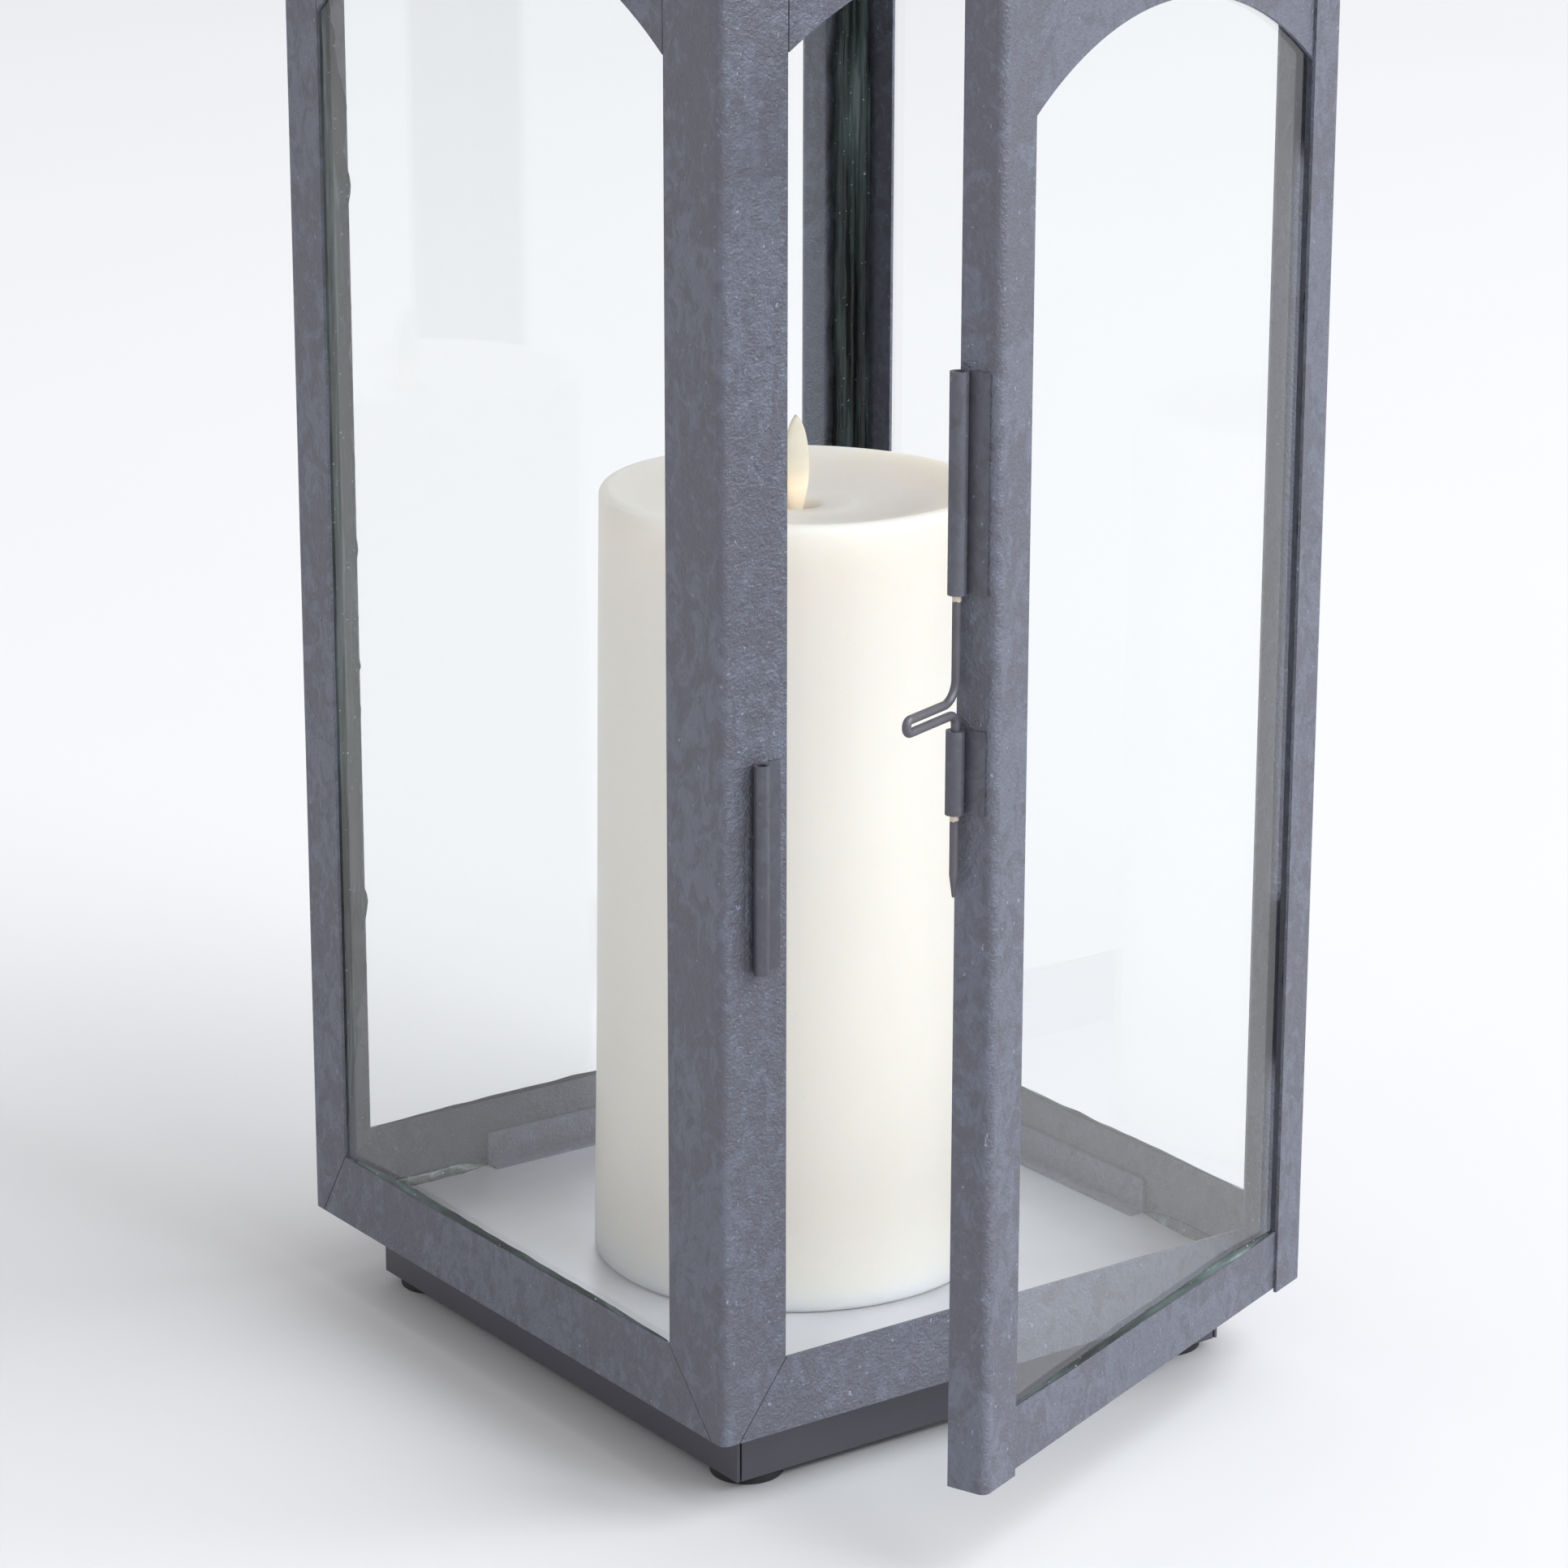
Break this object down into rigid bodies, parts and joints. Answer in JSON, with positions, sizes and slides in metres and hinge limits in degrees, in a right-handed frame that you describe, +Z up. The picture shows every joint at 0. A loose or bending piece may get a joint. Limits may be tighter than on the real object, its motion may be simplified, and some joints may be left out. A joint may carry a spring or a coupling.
{
  "type": "candle lantern",
  "caption": "Tall arched sheet-metal candle lantern with glass sides, a hinged glazed door on a wire bolt, a vented hip roof with a bail handle, and a battery pillar candle inside.",
  "frame": {"origin": "middle of the body's footprint, on the plane that the feet stand on", "axes": "+Z up, -Y out through the door side, +X towards the hinge side"},
  "size_m": [0.194, 0.2653, 0.516],
  "materials": {
    "patinated_sheet": "mottled zinc-grey patina with a fine grain",
    "floor_sheet": "satin grey paint",
    "charcoal_sheet": "smooth satin charcoal paint",
    "handle_rod": "dark grey paint",
    "rolled_sheet": "zinc-grey paint",
    "latch_wire": "worn grey paint over bare wire",
    "clear_glass": "clear, faintly green at the edges",
    "silicone": "clear silicone with bubbles",
    "foot_rubber": "matt black",
    "ivory_wax": "smooth ivory wax",
    "flame_shell": "translucent, lit from below",
    "bright_metal": "bright steel",
    "white_plastic": "moulded",
    "black_plastic": "moulded",
    "board": "circuit board",
    "copper": "wound copper",
    "lamp_lens": "clear lens",
    "battery_case": "printed sleeve, no lettering"
  },
  "bodies": {
    "lantern": {"front_post": "patinated_sheet", "right_post": "patinated_sheet", "back_post": "patinated_sheet", "left_post": "patinated_sheet", "front_rail": "patinated_sheet", "right_rail": "patinated_sheet", "back_rail": "patinated_sheet", "left_rail": "patinated_sheet", "front_arch": "patinated_sheet", "right_arch": "patinated_sheet", "back_arch": "patinated_sheet", "left_arch": "patinated_sheet", "right_glass": "clear_glass", "back_glass": "clear_glass", "left_glass": "clear_glass", "right_clip": "patinated_sheet", "left_clip": "patinated_sheet", "back_clip": "patinated_sheet", "right_silicone": "silicone", "left_silicone": "silicone", "back_silicone": "silicone", "floor_plate": "floor_sheet", "plinth": "charcoal_sheet", "feet": "foot_rubber", "top_ring": "patinated_sheet", "roof_plate": "patinated_sheet", "roof": "patinated_sheet", "vent_collar": "patinated_sheet", "vent_deck": "patinated_sheet", "vent_cap": "patinated_sheet", "handle_ears": "patinated_sheet", "handle_rivets": "handle_rod", "body_hinge_leaves": "rolled_sheet", "hinge_pins": "latch_wire", "latch_keeper": "rolled_sheet"},
    "door": {"latch_stile": "patinated_sheet", "hinge_stile": "patinated_sheet", "door_rail": "patinated_sheet", "door_arch": "patinated_sheet", "door_glass": "clear_glass", "door_silicone": "silicone", "door_hinge_leaves": "rolled_sheet", "lower_latch_guide": "rolled_sheet", "upper_latch_guide": "rolled_sheet"},
    "latch": {"latch_bolt": "latch_wire"},
    "handle": {"handle": "handle_rod"},
    "candle": {"candle_wax": "ivory_wax", "candle_sleeve": "white_plastic", "flame_wire": "bright_metal", "sway_board": "board", "sway_coil": "copper", "flame_lamps": "lamp_lens", "batteries": "battery_case", "battery_holder": "white_plastic", "candle_base_cap": "white_plastic"},
    "flame": {"flame_tongue": "flame_shell", "flame_magnet": "bright_metal"},
    "switch": {"candle_switch": "black_plastic"}
  },
  "joints": [
    {"name": "door_swing", "type": "hinge", "parent": "lantern", "child": "door", "pos_m": [0.0794, -0.0969, 0.2], "axis": [0, 0, 1], "range_deg": [-21, 84]},
    {"name": "latch_slide", "type": "slide", "parent": "door", "child": "latch", "axis": [0, 0, 1], "range_m": [0, 0.0185]},
    {"name": "handle_swing", "type": "hinge", "parent": "lantern", "child": "handle", "pos_m": [0, 0, 0.44353], "axis": [1, 0, 0], "range_deg": [-95, 95]},
    {"name": "candle_lift", "type": "slide", "parent": "lantern", "child": "candle", "axis": [0, 0, 1], "range_m": [0, 0.1]},
    {"name": "flame_sway", "type": "hinge", "parent": "candle", "child": "flame", "pos_m": [0, 0, 0.2133], "axis": [1, 0, 0], "range_deg": [-6, 6]},
    {"name": "switch_slide", "type": "slide", "parent": "candle", "child": "switch", "axis": [1, 0, 0], "range_m": [0, 0.003]}
  ]
}
